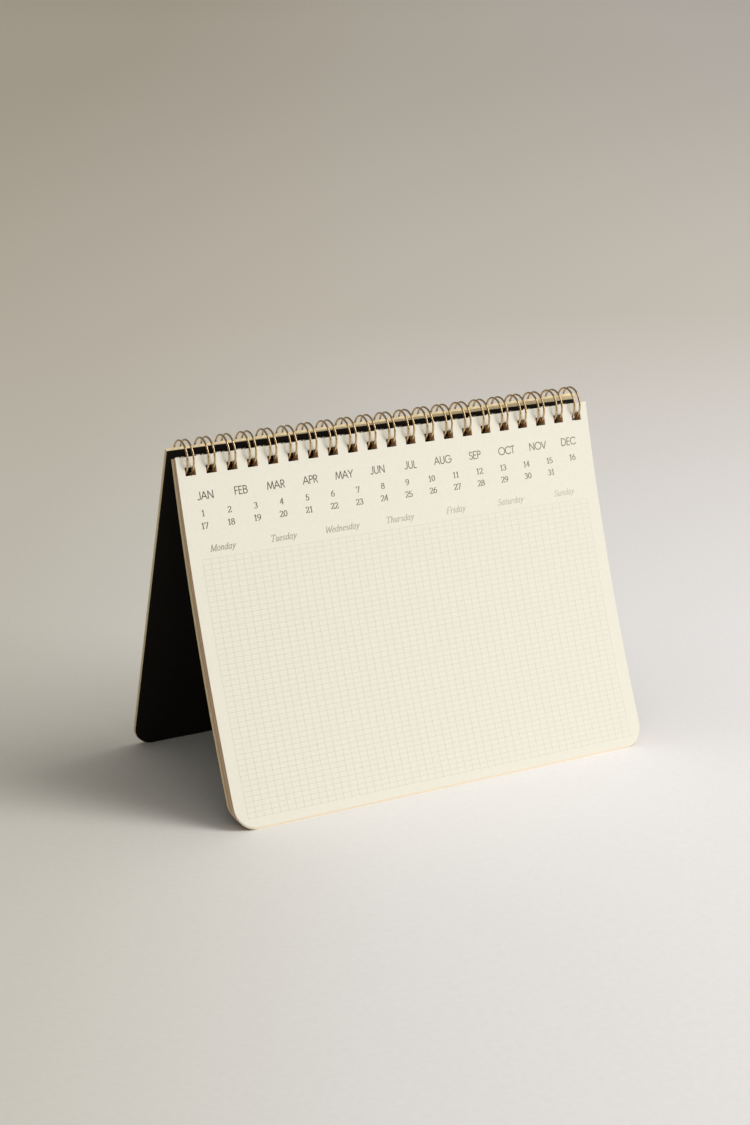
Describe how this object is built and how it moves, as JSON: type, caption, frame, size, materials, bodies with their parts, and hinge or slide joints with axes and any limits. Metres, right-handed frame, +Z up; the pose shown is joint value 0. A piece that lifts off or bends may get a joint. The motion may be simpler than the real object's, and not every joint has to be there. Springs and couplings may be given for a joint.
{
  "type": "spiral weekly planner",
  "caption": "Wire-bound landscape desk planner standing open as a tent: bowed leaves and back cover in front, flat front cover behind, hinged on a twin-loop wire.",
  "frame": {"origin": "on the table, in the middle of the box round the standing planner", "axes": "+X along the binding wire, to the reader's right; -Y towards the reader, out of the printed page; +Z up"},
  "size_m": [0.18, 0.1034, 0.1385],
  "materials": {
    "leaves": "matt cream paper",
    "greyboard": "raw board",
    "black_paper": "matt black paper",
    "gold_wire": "bright gold-coloured wire"
  },
  "bodies": {
    "back_cover": {"back_cover_board": "greyboard", "back_cover_facing": "black_paper"},
    "page_block": {"page_block": "leaves"},
    "front_cover": {"front_cover_board": "greyboard", "front_cover_facing": "black_paper", "twin_loop_wire": "gold_wire"}
  },
  "joints": [
    {"name": "page_block_turn", "type": "hinge", "parent": "back_cover", "child": "page_block", "pos_m": [0, -0.00091, 0.13158], "axis": [-1, 0, 0], "range_deg": [0, 25]},
    {"name": "front_cover_turn", "type": "hinge", "parent": "back_cover", "child": "front_cover", "pos_m": [0, -0.00091, 0.13158], "axis": [1, 0, 0], "range_deg": [-36, 90]}
  ]
}
